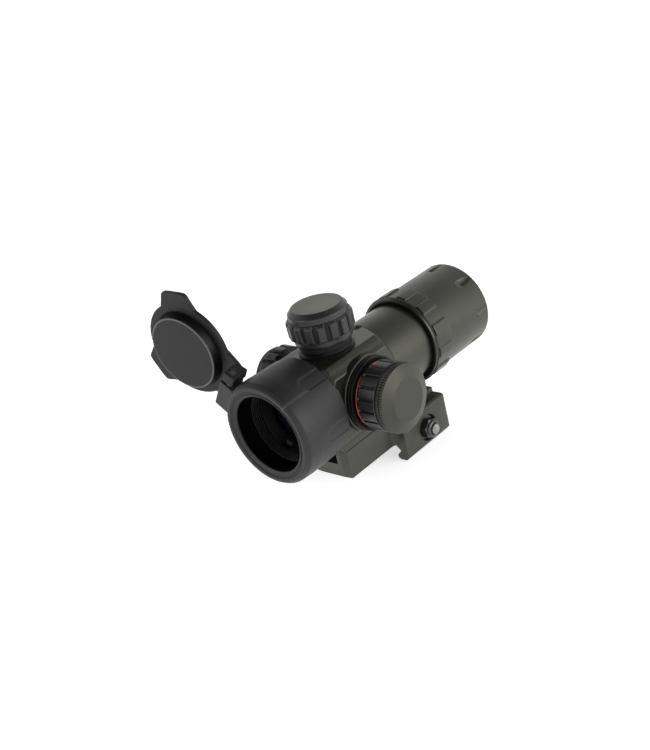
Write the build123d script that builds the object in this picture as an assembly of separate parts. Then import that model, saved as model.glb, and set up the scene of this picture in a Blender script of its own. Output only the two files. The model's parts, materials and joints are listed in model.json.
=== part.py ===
from build123d import *
import math
import os

# Compact tube sight on a clamp for a 21.2 mm dovetail rail. All sizes are in millimetres.
# Frame: the origin is on the rail seat below the turrets. +Y runs along the optical axis from the front
# (the end with the flip-open lid) to the rear, +X is the side with the brightness dial, +Z is up.

# ---- driving dimensions ----
AXIS_HEIGHT = 30.2          # optical axis above the rail seat
TUBE_R = 15.4               # outside of the main tube
CAVITY_R = 13.4             # inside of the main tube
TUBE_REAR = 46.0            # rear end of the main tube
BELL_R = 17.4               # front bell, under the lid ring
BELL_FRONT = -34.0
FRONT_BORE_R = 14.2         # accessory thread in front of the lens
LENS_BORE_R = 14.0          # narrower thread for the lens ring
LENS_RING_FRONT = -25.5
LENS_FRONT = -21.4
BLOCK_HALF = 15.3           # half width of the faceted turret block
BLOCK_CHAMFER = 3.9
BLOCK_FRONT = -13.8
BLOCK_REAR = 13.2
BLOCK_CORNER_R = 19.2
PEDESTAL_HALF = 9.0
BASE_TOP = 10.7

RING_R = 19.5               # ring that carries the lid
RING_FRONT = -37.3
RING_REAR = -15.6
LIP_FRONT = -35.8
LIP_R = 14.5

LID_R = 18.0
LID_INNER = -37.5
LID_OUTER = -40.0
LID_PLUG_R = 14.1
LID_PLUG_FACE = -34.1
LID_TAB_TURN = 120.0        # degrees from the hinge to each finger tab
LID_TAB_REACH = 22.8
LID_OPEN = 173.7            # degrees from closed
HINGE_ANGLE = 145.4         # degrees about the optical axis, from +X towards +Z
HINGE_RADIUS = 22.1
HINGE_Y = -32.9
HINGE_LUG = (-4.5, 7.4)     # the ring's lug, along the pin
HINGE_LUG_FRONT = -2.4      # from the pin, along the optical axis
LID_KNUCKLE = (-9.4, -4.6)  # the lid's knuckle, along the pin
LID_KNUCKLE_HALF = 2.4
LID_SPRING_R = 1.6
LID_SPRING_END = 0.5
HINGE_PIN_R = 1.0

TURRET_SEAT = 17.5          # top of each turret boss, from the optical axis
TURRET_BOSS_R = 10.2
TURRET_NECK_R = 8.6
CAP_FOOT = 19.2             # lower edge of each screw cap
CAP_FOOT_R = 10.5
CAP_GRIP_R = 12.0
CAP_GRIP = (22.3, 28.6)
CAP_TOP = 32.4
CAP_TOP_R = 9.15
CAP_SLOTS = 16
INNER_TUBE_R = 10.5
INNER_TUBE_FRONT = -12.0
PIVOT_Y = 36.0

DIAL_SEAT = 17.0            # outer face of the side boss
DIAL_START = 19.7
DIAL_END = 30.0
DIAL_R = 12.3
DIAL_PADS = 18
BATTERY_R = 10.0
BATTERY_START = 25.0
BATTERY_THICK = 3.2
BATTERY_CAP_TOP = 33.3
HUB_R = 8.0

SLEEVE_FRONT = 36.9
SLEEVE_REAR = 71.5
SLEEVE_RIM_R = 18.0
SLEEVE_R = 17.1
SLEEVE_BORE_R = 16.0
SLEEVE_PADS = 12
SLEEVE_SCALLOPS = 8

BASE_FRONT = -11.9
BASE_REAR = 39.5
BASE_HALF = 9.0
JAW_FRONT = 13.9
JAW_SIDE = 13.8
JAW_TOP = 8.8
JAW_BOTTOM = -6.6
RAIL_HALF_TOP = 7.8         # half width of the rail's flat top
RAIL_HALF = 10.6            # half width across the rail's corners
RAIL_DROP = 2.8             # rail corner below the seat
STUD_Y = 27.7
STUD_Z = 0.2
STUD_R = 2.0
RECESS_R = 5.15
RECESS_FLOOR = 11.8
LEVER_PIN_X = -19.85
LEVER_DISC_R = 4.6
LEVER_OFFSET = 1.2
GUIDE_YS = (18.0, 36.5)     # two guide pins of the movable jaw
GUIDE_Z = 5.0
GUIDE_R = 1.25
GUIDE_INNER = -4.2          # inner end of each guide pin
GUIDE_SPRING = (-10.6, -7.4)
GUIDE_POCKET_R = 2.2
SCREW_XS = (-6.2, 6.2)      # four screws that hold the housing on the clamp base
SCREW_YS = (-7.0, 9.0)

RUNNING = 0.05              # radial clearance of shafts, pins and screw fits
GAP = 0.1                   # clearance between faces that don't fit


# ---- helpers ----
def turned(outline):
    """Turn an outline of (radius, height) points about the Z axis."""
    face = Plane.XZ * make_face(Polyline(*outline, close=True))
    return revolve(face, axis=Axis.Z, revolution_arc=360)


def ring(outer, inner, low, high):
    """Plain ring about the Z axis."""
    return turned([(inner, low), (outer, low), (outer, high), (inner, high)])


def disc(radius, low, high):
    """Plain cylinder about the Z axis."""
    return Pos(0, 0, (low + high) / 2) * Cylinder(radius, high - low)


def block(low, high):
    """Box between two corners."""
    size = [b - a for a, b in zip(low, high)]
    middle = [(a + b) / 2 for a, b in zip(low, high)]
    return Pos(*middle) * Box(*size)


OPTICAL = Pos(0, 0, AXIS_HEIGHT) * Rot(-90, 0, 0)       # local Z becomes the optical axis
UPWARD = Pos(0, 0, AXIS_HEIGHT)                         # elevation turret
LEFTWARD = Pos(0, 0, AXIS_HEIGHT) * Rot(0, -90, 0)      # windage turret
RIGHTWARD = Pos(0, 0, AXIS_HEIGHT) * Rot(0, 90, 0)      # brightness dial


def around_axis(angle):
    """Place a shape made at +X of the optical axis at an angle, from +X towards +Z."""
    return Pos(0, 0, AXIS_HEIGHT) * Rot(0, -angle, 0)


def bar_x(radius, start, end, y, z):
    """Round bar along X."""
    return Pos((start + end) / 2, y, z) * Rot(0, 90, 0) * Cylinder(radius, end - start)


def bar_z(radius, low, high, x, y):
    """Round bar along Z."""
    return Pos(x, y, (low + high) / 2) * Cylinder(radius, high - low)


# The lid's hinge frame: local X points away from the optical axis, local Y is the row's Y, and local Z runs
# down along the hinge pin.
HINGE = around_axis(HINGE_ANGLE) * Pos(HINGE_RADIUS, HINGE_Y, 0)


# ---- main housing and its fixed pieces ----
def main_body():
    tube = OPTICAL * turned([
        (0, BELL_FRONT), (BELL_R, BELL_FRONT), (BELL_R, RING_REAR), (BLOCK_HALF - GAP, RING_REAR + 2.0),
        (BLOCK_HALF - GAP, BLOCK_REAR), (TUBE_R, BLOCK_REAR), (TUBE_R, TUBE_REAR), (0, TUBE_REAR)])
    half, cut = BLOCK_HALF, BLOCK_CHAMFER
    corners = [(half - cut, half), (half, half - cut), (half, cut - half), (half - cut, -half),
               (cut - half, -half), (-half, cut - half), (-half, half - cut), (cut - half, half)]
    facets = extrude(Plane.XZ * make_face(Polyline(*corners, close=True)), 20, both=True)
    bevels = Rot(-90, 0, 0) * turned([
        (0, RING_REAR), (BELL_R, RING_REAR), (BLOCK_CORNER_R, BLOCK_FRONT), (BLOCK_CORNER_R, BLOCK_REAR),
        (TUBE_R, BLOCK_REAR + BLOCK_CORNER_R - TUBE_R), (0, BLOCK_REAR + BLOCK_CORNER_R - TUBE_R)])
    shape = tube + Pos(0, 0, AXIS_HEIGHT) * (facets & bevels)
    pedestal = block((-PEDESTAL_HALF, BASE_FRONT, BASE_TOP),
    (PEDESTAL_HALF, -BASE_FRONT, AXIS_HEIGHT - 10))
    shape += pedestal
    boss = disc(TURRET_BOSS_R, 12, TURRET_SEAT)
    boss = chamfer(boss.edges().group_by(Axis.Z)[-1], 0.4)
    shape += UPWARD * boss
    shape += LEFTWARD * boss
    side_boss = chamfer(disc(13.9, 12, DIAL_SEAT).edges().group_by(Axis.Z)[-1], 0.5)
    shape += RIGHTWARD * side_boss

    cavity = turned([
        (0, BELL_FRONT), (FRONT_BORE_R, BELL_FRONT), (FRONT_BORE_R, LENS_RING_FRONT),
        (LENS_BORE_R, LENS_RING_FRONT),
        (LENS_BORE_R, LENS_FRONT), (CAVITY_R, LENS_FRONT),
        (CAVITY_R, -17.4), (12.0, -17.4), (12.0, -15.9), (CAVITY_R, -15.9), (CAVITY_R, TUBE_REAR),
        (0, TUBE_REAR)])
    shape -= OPTICAL * cavity
    for place in (UPWARD, LEFTWARD, RIGHTWARD):
        shape -= place * disc(8.0, 10, TURRET_SEAT + 1)
    for x in SCREW_XS:
        for y in SCREW_YS:
            shape -= bar_z(1.27, BASE_TOP, BASE_TOP + 5.2, x, y)
    shape -= block((-1.4, 15.0, AXIS_HEIGHT + 14.6), (1.4, 18.2, AXIS_HEIGHT + 16))
    return shape


def front_lens():
    """Flat rear face, crowned front face."""
    radius, crown = 13.3, 0.9
    curve = (radius ** 2 + crown ** 2) / (2 * crown)
    return OPTICAL * (disc(radius, LENS_FRONT, -18.4) & Pos(0, 0, LENS_FRONT + curve) * Sphere(curve))


def front_lens_ring():
    """Retaining ring with a conical mouth and two spanner notches."""
    shape = turned([
        (13.2, LENS_RING_FRONT), (LENS_BORE_R - 0.05, LENS_RING_FRONT),
        (LENS_BORE_R - 0.05, LENS_FRONT - 0.05),
        (11.7, LENS_FRONT - 0.05), (11.7, LENS_FRONT - 0.8)])
    for turn in (55, 235):
        notch = block((11.0, -2.2, LENS_RING_FRONT - 1), (14.6, 2.2, LENS_RING_FRONT + 2.2))
        shape -= Rot(0, 0, turn) * notch
    return OPTICAL * shape


def front_lens_seal():
    return OPTICAL * ring(13.3, 12.3, -18.4, -17.4)


def rear_window_cell():
    return OPTICAL * turned([
        (11.6, 40.0), (CAVITY_R - 0.02, 40.0), (CAVITY_R - 0.02, 45.4), (12.55, 45.4), (12.55, 41.5),
        (11.6, 41.5)])


def rear_window():
    return OPTICAL * disc(12.5, 41.5, 44.0)


def rear_window_ring():
    shape = ring(12.5, 11.2, 44.0, 45.2)
    for turn in (0, 180):
        shape -= Rot(0, 0, turn) * block((11, -1.2, 44.5), (13, 1.2, 46))
    return OPTICAL * shape


def turret_base(place):
    """Threaded neck that guides one adjuster and its plunger."""
    return place * turned([
        (2.5, 13.9), (7.95, 13.9), (7.95, TURRET_SEAT), (TURRET_NECK_R, TURRET_SEAT),
        (TURRET_NECK_R, 22.2),
        (TURRET_NECK_R - 0.4, 22.6), (5.5, 22.6), (5.5, 19.9), (2.5, 19.9)])


def adjuster(place):
    """Slotted screw head that is turned with a coin."""
    head = turned([(0, 19.95), (5.5 - RUNNING, 19.95), (5.5 - RUNNING, 21.9), (5.0, 22.4), (0, 22.4)])
    head -= block((-6, -0.6, 21.2), (6, 0.6, 23))
    return place * head


def plunger(place):
    """Pin that pushes the inner tube."""
    return place * turned([
        (0, INNER_TUBE_R + 0.05), (1.6, INNER_TUBE_R + 0.05), (2.5 - RUNNING, 11.6),
        (2.5 - RUNNING, 19.3), (0, 19.3)])


def cap_seal(place):
    return place * ring(9.5, TURRET_NECK_R + RUNNING, TURRET_SEAT + 0.05, CAP_FOOT - 0.05)


def screw_cap(place):
    """Cap over one turret, with a slotted grip band."""
    low, high = CAP_GRIP
    shape = turned([
        (TURRET_NECK_R + RUNNING, CAP_FOOT), (CAP_FOOT_R - 0.5, CAP_FOOT), (CAP_FOOT_R, CAP_FOOT + 0.5),
        (CAP_FOOT_R, low - 0.4), (CAP_GRIP_R - 0.3, low), (CAP_GRIP_R, low + 0.5),
        (CAP_GRIP_R, high - 0.8),
        (CAP_GRIP_R - 0.4, high), (10.7, high + 0.3), (10.7, CAP_TOP - 1.6), (CAP_TOP_R, CAP_TOP),
        (0, CAP_TOP),
        (0, CAP_TOP - 2.2), (7.6, CAP_TOP - 2.2), (7.6, 24.0), (TURRET_NECK_R + RUNNING, 24.0)])
    slot = block((10.9, -0.65, low - 0.1), (13, 0.65, high + 0.2))
    for i in range(CAP_SLOTS):
        shape -= Rot(0, 0, 360 * (i + 0.5) / CAP_SLOTS) * slot
    return place * shape


def return_spring():
    """Bowed leaf spring opposite the two plungers."""
    bow = make_face(Polyline(
        (-8, 13.1), (-4, 12.1), (-2, 11.7), (2, 11.7), (4, 12.1), (8, 13.1), (8, 12.75), (4, 11.75),
        (2, 11.35),
        (-2, 11.35), (-4, 11.75), (-8, 12.75), close=True))
    strip = extrude(Plane.YZ * bow, 2.2, both=True)
    return Pos(0, 0, AXIS_HEIGHT) * Rot(0, 135, 0) * strip


# ---- inner tube that the adjusters tilt ----
def inner_tube():
    return OPTICAL * turned([
        (9.65, INNER_TUBE_FRONT), (INNER_TUBE_R, INNER_TUBE_FRONT), (INNER_TUBE_R, 39.0), (9.0, 39.0),
        (9.0, -7.6),
        (9.65, -7.6)])


def objective_lens():
    """Flat rear face, hollowed front face."""
    radius, hollow = 9.6, 1.4
    curve = (radius ** 2 + hollow ** 2) / (2 * hollow)
    return OPTICAL * (disc(radius, -10.2, -7.6) - Pos(0, 0, -10.2 + hollow - curve) * Sphere(curve))


def objective_ring():
    return OPTICAL * ring(9.6, 8.9, INNER_TUBE_FRONT, -10.2)


def led_emitter():
    """Small lamp on the inner tube's wall that shines forward onto the objective lens."""
    lamp = block((6.9, 31.0, -1.6), (8.85, 34.0, 1.6))
    return around_axis(-45) * lamp


def pivot_ring():
    return OPTICAL * ring(CAVITY_R - 0.3, INNER_TUBE_R + 0.3, PIVOT_Y - 1.5, PIVOT_Y + 1.5)


# ---- front ring and lid ----
def front_cap_ring():
    middle = (LIP_R + 0.9 + RING_R) / 2
    outline = Polyline((BELL_R + 0.05, RING_REAR), (RING_R - 0.3, RING_REAR), (RING_R, -31.0)) + \
        ThreePointArc((RING_R, -31.0), (RING_R - 0.6, RING_FRONT + 2.0), (middle + 0.4, RING_FRONT)) + \
        Polyline((middle + 0.4, RING_FRONT), (middle - 0.4, RING_FRONT), (LIP_R + 0.9, LIP_FRONT),
                 (LIP_R, LIP_FRONT), (LIP_R, BELL_FRONT - 0.05), (BELL_R + 0.05, BELL_FRONT - 0.05),
                 (BELL_R + 0.05, RING_REAR))
    shape = OPTICAL * revolve(Plane.XZ * make_face(outline), axis=Axis.Z, revolution_arc=360)
    low, high = HINGE_LUG
    root, outer, rear = -7.5, 2.9, 4.2
    section = make_face(Polyline(
        (root, HINGE_LUG_FRONT), (outer, HINGE_LUG_FRONT), (outer, rear - 1.7), (outer - 1.5, rear),
        (root, rear),
        close=True))
    lug = Pos(0, 0, low) * extrude(section, high - low)
    lug -= Pos(outer, 0, high) * Rot(0, 45, 0) * Box(2.2, 12, 2.2)
    shape += HINGE * lug
    keep_open = OPTICAL * disc(BELL_R + 0.05, BELL_FRONT - 0.05, RING_REAR + 1)
    shape -= keep_open
    shape -= OPTICAL * disc(LIP_R, RING_FRONT - 1, BELL_FRONT)
    shape -= HINGE * disc(HINGE_PIN_R, low - 1, high + 1)
    shape -= HINGE * disc(LID_SPRING_R + RUNNING, low - 1, LID_SPRING_END + GAP)
    return shape


def hinge_pin():
    return HINGE * disc(HINGE_PIN_R, LID_KNUCKLE[0] + GAP, HINGE_LUG[1] - GAP)


def lid_spring():
    return HINGE * ring(LID_SPRING_R, HINGE_PIN_R + 0.15, HINGE_LUG[0] + GAP, LID_SPRING_END)


def lid():
    """Made closed over the front ring, then swung open about the hinge pin."""
    plate = turned([
        (0, LID_OUTER), (LID_R - 1.2, LID_OUTER + 0.3), (LID_R, LID_OUTER + 1.2), (LID_R, LID_INNER),
        (16.4, LID_INNER),
        (15.9, LID_INNER - 0.7), (LID_PLUG_R, LID_INNER - 0.7), (LID_PLUG_R, LID_PLUG_FACE - 0.6),
        (LID_PLUG_R - 0.6, LID_PLUG_FACE), (0, LID_PLUG_FACE)])
    shape = OPTICAL * plate
    reach = LID_TAB_REACH
    tab = make_face(Polyline(
        (12, -7.4), (17.0, -7.6), (19.0, -6.7), (reach - 0.9, -5.6), (reach, -4.4), (reach, 4.4),
        (reach - 0.9, 5.6),
        (19.0, 6.7), (17.0, 7.6), (12, 7.4), close=True))
    arm = make_face(Polyline(
        (-11, -11.2), (-7.0, -10.3), (-4.0, -9.9), (-0.9, -9.0), (0.6, -7.6), (1.5, -5.0), (1.5, 5.0),
        (0.6, 7.6),
        (-0.9, 9.0), (-4.0, 9.9), (-7.0, 10.3), (-11, 11.2), close=True))
    thickness = LID_INNER - LID_OUTER - 0.3
    flat = Pos(0, LID_INNER, 0) * Rot(90, 0, 0)
    for side in (-1, 1):
        shape += around_axis(HINGE_ANGLE + side * LID_TAB_TURN) * flat * extrude(tab, thickness)
    shape += HINGE * Pos(0, -HINGE_Y, 0) * flat * extrude(arm, thickness)
    low, high = LID_KNUCKLE
    half = LID_KNUCKLE_HALF
    foot = LID_INNER - 0.6 - HINGE_Y
    knuckle = make_face(Polyline(
        (-half, foot), (half, foot), (half, half - 0.9), (half - 0.9, half), (0.9 - half, half),
        (-half, half - 0.9),
        close=True))
    shape += HINGE * Pos(0, 0, low) * extrude(knuckle, high - low)
    shape -= HINGE * disc(HINGE_PIN_R + RUNNING, low - 1, high + 1)
    swing = HINGE * Rot(0, 0, LID_OPEN) * HINGE.inverse()
    return swing * shape


# ---- brightness dial ----
def dial_base():
    shape = turned([
        (0, 14.0), (7.95, 14.0), (7.95, DIAL_SEAT), (13.3, DIAL_SEAT), (13.3, 17.9), (12.9, 18.1),
        (12.9, 18.4),
        (13.3, 18.6), (13.3, 19.3), (11.6, 19.3), (11.6, 18.1), (HUB_R, 18.1), (HUB_R, 24.3), (0, 24.3)])
    shape -= disc(2.0, 13, 24)
    shape -= Pos(0, 6.5, 22.0) * Rot(90, 0, 0) * Cylinder(0.95, 4)
    return RIGHTWARD * shape


def switch_board():
    return RIGHTWARD * ring(11.5, HUB_R + 0.1, 18.15, 19.2)


def battery_contact():
    tip = BATTERY_START - 0.1
    return RIGHTWARD * turned([(0, 24.3), (2.6, 24.3), (1.2, tip), (0, tip)])


def dial_detent():
    """Ball and spring in the hub that click into the dial."""
    ball = Pos(0, 7.1, 22.0) * Sphere(0.88)
    coil = Pos(0, 5.3, 22.0) * Rot(90, 0, 0) * (Cylinder(0.85, 1.6) - Cylinder(0.6, 1.6))
    return RIGHTWARD * Compound(children=[ball, coil])


def brightness_dial():
    shape = turned([
        (HUB_R + RUNNING, DIAL_START), (11.6, DIAL_START), (DIAL_R, DIAL_START + 0.6),
        (DIAL_R, DIAL_END - 0.3),
        (DIAL_R - 0.3, DIAL_END), (11.9, DIAL_END), (11.9, DIAL_END - 0.5), (10.95, DIAL_END - 0.5),
        (10.95, 28.3), (BATTERY_R + 0.1, 28.3), (BATTERY_R + 0.1, BATTERY_START),
        (HUB_R + RUNNING, BATTERY_START)])
    groove = block((DIAL_R - 0.7, -0.55, DIAL_START + 1.2), (14, 0.55, 27.9))
    for i in range(DIAL_PADS):
        shape -= Rot(0, 0, 360 * i / DIAL_PADS) * groove
    shape -= block((9.2, -1.0, 19), (10.6, 1.0, 20.4))
    return RIGHTWARD * shape


def dial_wiper():
    return RIGHTWARD * block((9.3, -0.9, 19.3), (10.5, 0.9, 20.3))


def battery():
    cell = disc(BATTERY_R, BATTERY_START, BATTERY_START + BATTERY_THICK)
    cell = chamfer(cell.edges().group_by(Axis.Z)[-1], 0.3)
    return RIGHTWARD * cell


def battery_seal():
    return RIGHTWARD * ring(11.8, 11.05, DIAL_END - 0.45, DIAL_END + 0.1)


def battery_cap():
    shape = turned([
        (0, 29.4), (9.4, 29.4), (9.4, 28.4), (10.95 - RUNNING, 28.4), (10.95 - RUNNING, DIAL_END + 0.15),
        (12.1, DIAL_END + 0.15), (12.35, 30.5), (12.0, 31.6), (7.7, BATTERY_CAP_TOP),
        (0, BATTERY_CAP_TOP)])
    return RIGHTWARD * shape


# ---- rear sleeve ----
def sleeve_seal():
    return OPTICAL * ring(16.2, TUBE_R + RUNNING, 37.5, 38.8)


def rear_sleeve():
    pad_low, pad_high = 38.0, 46.4
    shape = turned([
        (16.3, SLEEVE_FRONT), (SLEEVE_RIM_R - 0.3, SLEEVE_FRONT), (SLEEVE_RIM_R, SLEEVE_FRONT + 0.3),
        (SLEEVE_RIM_R, pad_high), (SLEEVE_R, pad_high + 0.5), (SLEEVE_R, SLEEVE_REAR - 0.3),
        (SLEEVE_R - 0.3, SLEEVE_REAR), (SLEEVE_BORE_R, SLEEVE_REAR), (SLEEVE_BORE_R, 46.9),
        (TUBE_R + RUNNING, 46.9),
        (TUBE_R + RUNNING, 38.9), (16.3, 38.9)])
    shape = OPTICAL * shape
    valley = block((17.45, pad_low, -2.6), (19, pad_high + 1, 2.6))
    for i in range(SLEEVE_PADS):
        shape -= around_axis(33 + 360 * i / SLEEVE_PADS) * valley
    scallop = Pos(SLEEVE_R + 2.2, 72.0 - 2.8, 0) * Rot(90, 0, 0) * Cylinder(3.0, 9.0)
    scallop += Pos(SLEEVE_R + 2.2, 64.8, 0) * Sphere(3.0)
    for i in range(SLEEVE_SCALLOPS):
        shape -= around_axis(48 + 360 * i / SLEEVE_SCALLOPS) * scallop
    return shape


# ---- rail clamp ----
def jaw_outline(side, inner):
    """Section of one jaw in X and Z: side is +1 or -1, inner is the list of points next to the base."""
    outer = [
        (RAIL_HALF, -RAIL_DROP), (8.75, -4.65), (8.6, -5.2), (8.9, -6.1), (9.8, JAW_BOTTOM),
        (12.6, JAW_BOTTOM),
        (JAW_SIDE, -5.4), (JAW_SIDE, JAW_TOP - 0.5), (12.9, JAW_TOP)]
    return [(side * x, z) for x, z in inner + outer]


def clamp_base():
    shape = block((-BASE_HALF, BASE_FRONT, 0), (BASE_HALF, BASE_REAR, BASE_TOP))
    front = shape.edges().filter_by(Axis.Z).group_by(Axis.Y)[0]
    shape = chamfer(front, 0.4, 3.3)
    section = jaw_outline(1, [(5.0, JAW_TOP + 0.3), (5.0, 0), (RAIL_HALF_TOP, 0)])
    section = Plane.XZ * make_face(Polyline(*section, close=True))
    jaw = Pos(0, BASE_REAR, 0) * extrude(section, BASE_REAR - JAW_FRONT)
    shape += jaw
    root = block((BASE_HALF - 1, JAW_FRONT - 3, 0), (BASE_HALF + 3, JAW_FRONT + 1, JAW_TOP))
    root -= bar_z(3.0, -1, JAW_TOP + 1, BASE_HALF + 3, JAW_FRONT - 3)
    shape += root
    shape -= block((-3.6, BASE_FRONT - 1, 5.0), (3.6, BASE_REAR + 1, BASE_TOP + 1))
    shape -= bar_x(STUD_R + 0.1, -JAW_SIDE, JAW_SIDE + 1, STUD_Y, STUD_Z)
    shape -= bar_x(RECESS_R, RECESS_FLOOR, JAW_SIDE + 1, STUD_Y, STUD_Z)
    for x in SCREW_XS:
        for y in SCREW_YS:
            shape -= bar_z(1.35, -1, BASE_TOP + 1, x, y)
            shape -= bar_z(2.35, -1, 2.6, x, y)
    for y in GUIDE_YS:
        shape -= bar_x(GUIDE_R, -12, GUIDE_INNER, y, GUIDE_Z)
        shape -= bar_x(GUIDE_POCKET_R, -12, GUIDE_SPRING[1], y, GUIDE_Z)
    return shape


def base_screws():
    screws = []
    for x in SCREW_XS:
        for y in SCREW_YS:
            screw = bar_z(1.25, 2.4, BASE_TOP + 4.8, x, y) + bar_z(2.25, 0.4, 2.6, x, y)
            screw -= Pos(x, y, 0.4) * extrude(RegularPolygon(0.9, 6), 1.4)
            screws.append(screw)
    return Compound(children=screws)


def movable_jaw():
    inner_x = BASE_HALF + GAP
    section = jaw_outline(-1, [(inner_x, JAW_TOP), (inner_x, RAIL_HALF - RAIL_DROP - inner_x)])
    section = Plane.XZ * make_face(Polyline(*section, close=True))
    shape = Pos(0, BASE_REAR, 0) * extrude(section, BASE_REAR - JAW_FRONT)
    shape -= bar_x(STUD_R + 0.1, -JAW_SIDE - 1, 0, STUD_Y, STUD_Z)
    for y in GUIDE_YS:
        shape -= bar_x(GUIDE_R + RUNNING, -JAW_SIDE - 1, 0, y, GUIDE_Z)
        shape -= bar_x(GUIDE_POCKET_R, GUIDE_SPRING[0], 0, y, GUIDE_Z)
    return shape


def guide_pins():
    return Compound(children=[bar_x(GUIDE_R, -13.4, GUIDE_INNER, y, GUIDE_Z) for y in GUIDE_YS])


def jaw_springs():
    start, end = GUIDE_SPRING
    springs = []
    for y in GUIDE_YS:
        springs.append(bar_x(2.1, start, end, y, GUIDE_Z) - bar_x(1.45, start - 1, end + 1, y, GUIDE_Z))
    return Compound(children=springs)


def clamp_stud():
    shape = bar_x(STUD_R, LEVER_PIN_X + 1.2, 17.8, STUD_Y, STUD_Z)
    shape = chamfer(shape.edges().group_by(Axis.X)[-1], 0.4)
    shape += bar_z(2.2, STUD_Z - 1.9, STUD_Z + 1.9, LEVER_PIN_X, STUD_Y)
    shape -= bar_z(HINGE_PIN_R + RUNNING, -6, 6, LEVER_PIN_X, STUD_Y)
    return shape


def stud_washer():
    washer = bar_x(4.7, RECESS_FLOOR + 0.05, 12.6, STUD_Y, STUD_Z)
    return washer - bar_x(STUD_R + 0.1, 11, 13, STUD_Y, STUD_Z)


def stud_nut():
    """Lock nut: a hexagon with a round collar."""
    hexagon = extrude(RegularPolygon(3.5, 6, major_radius=False), 3.0)
    crown = turned([(0, 0), (3.7, 0), (4.05, 0.35), (4.05, 2.65), (3.5, 3.0), (3.3, 3.0), (3.3, 3.9),
            (2.8, 4.35),
                    (0, 4.35)])
    body = (hexagon + disc(3.3, 2.9, 4.5)) & crown
    body -= disc(STUD_R + RUNNING, -1, 5)
    return Pos(12.65, STUD_Y, STUD_Z) * Rot(0, 90, 0) * Rot(0, 0, 10) * body


def lever_pin():
    return bar_z(HINGE_PIN_R, -4.9, 5.3, LEVER_PIN_X, STUD_Y)


def clamp_lever():
    """Cam lever: two off-centre discs either side of the stud's eye, and a finger arm."""
    low, high = -5.0, 5.4
    shape = bar_z(LEVER_DISC_R, low, high, LEVER_PIN_X + LEVER_OFFSET, STUD_Y)
    x, y = LEVER_PIN_X, STUD_Y
    arm = make_face(Polyline(
        (x + 1.0, y - 1), (x + 1.6, y - 4.5), (x + 0.6, y - 9), (x - 0.2, y - 18), (x - 1.4, y - 25),
        (x - 3.6, y - 28.5), (x - 4.9, y - 27.6), (x - 3.6, y - 23), (x - 3.2, y - 12), (x - 3.3, y - 2),
        close=True))
    shape += Pos(0, 0, low) * extrude(arm, high - low)
    shape -= block((x - 8, y - 2.7, STUD_Z - 2.25), (x + 8, y + 8, STUD_Z + 2.25))
    shape -= bar_z(HINGE_PIN_R + RUNNING, -6, 6, x, y)
    return shape


PARTS = {
    "main_body": main_body,
    "front_lens": front_lens,
    "front_lens_ring": front_lens_ring,
    "front_lens_seal": front_lens_seal,
    "rear_window_cell": rear_window_cell,
    "rear_window": rear_window,
    "rear_window_ring": rear_window_ring,
    "return_spring": return_spring,
    "inner_tube": inner_tube,
    "objective_lens": objective_lens,
    "objective_ring": objective_ring,
    "led_emitter": led_emitter,
    "pivot_ring": pivot_ring,
    "front_cap_ring": front_cap_ring,
    "lid": lid,
    "lid_hinge_pin": hinge_pin,
    "lid_spring": lid_spring,
    "dial_base": dial_base,
    "switch_board": switch_board,
    "battery_contact": battery_contact,
    "dial_detent": dial_detent,
    "brightness_dial": brightness_dial,
    "dial_wiper": dial_wiper,
    "battery": battery,
    "battery_seal": battery_seal,
    "battery_cap": battery_cap,
    "sleeve_seal": sleeve_seal,
    "rear_sleeve": rear_sleeve,
    "clamp_base": clamp_base,
    "base_screws": base_screws,
    "movable_jaw": movable_jaw,
    "jaw_guide_pins": guide_pins,
    "jaw_springs": jaw_springs,
    "clamp_stud": clamp_stud,
    "stud_washer": stud_washer,
    "stud_nut": stud_nut,
    "lever_pin": lever_pin,
    "clamp_lever": clamp_lever,
}
TURRET_PARTS = {
    "base": turret_base,
    "adjuster": adjuster,
    "plunger": plunger,
    "cap_seal": cap_seal,
    "cap": screw_cap,
}

os.makedirs("parts", exist_ok=True)
for node, make in PARTS.items():
    export_step(make(), f"parts/{node}.step")
for turret, place in (("elevation", UPWARD), ("windage", LEFTWARD)):
    for piece, make in TURRET_PARTS.items():
        export_step(make(place), f"parts/{turret}_{piece}.step")
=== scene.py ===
import json
import math

import bmesh
import bpy
import numpy as np
from mathutils import Matrix, Vector


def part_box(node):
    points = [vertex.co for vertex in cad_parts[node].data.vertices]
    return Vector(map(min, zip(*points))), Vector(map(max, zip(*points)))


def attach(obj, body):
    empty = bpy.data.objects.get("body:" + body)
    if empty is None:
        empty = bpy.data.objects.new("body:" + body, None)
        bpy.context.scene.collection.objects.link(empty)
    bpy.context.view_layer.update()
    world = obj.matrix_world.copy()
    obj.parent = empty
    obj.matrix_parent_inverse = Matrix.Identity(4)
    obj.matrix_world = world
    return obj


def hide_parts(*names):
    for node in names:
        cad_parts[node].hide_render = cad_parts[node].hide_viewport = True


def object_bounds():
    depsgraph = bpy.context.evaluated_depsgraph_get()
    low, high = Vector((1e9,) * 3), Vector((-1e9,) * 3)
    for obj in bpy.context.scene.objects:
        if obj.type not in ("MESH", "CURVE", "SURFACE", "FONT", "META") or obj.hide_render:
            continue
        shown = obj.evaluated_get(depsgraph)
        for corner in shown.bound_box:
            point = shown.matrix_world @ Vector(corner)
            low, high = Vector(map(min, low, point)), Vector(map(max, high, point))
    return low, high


# The looks of a compact tube sight with a flip-open front lid, two capped turrets, a brightness dial,
# a rear sleeve and a rail clamp. Shapes are worked out in millimetres in the row's frame: +Y runs from
# the front (lid end) to the rear, +X is the dial's side and +Z is up.

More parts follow.
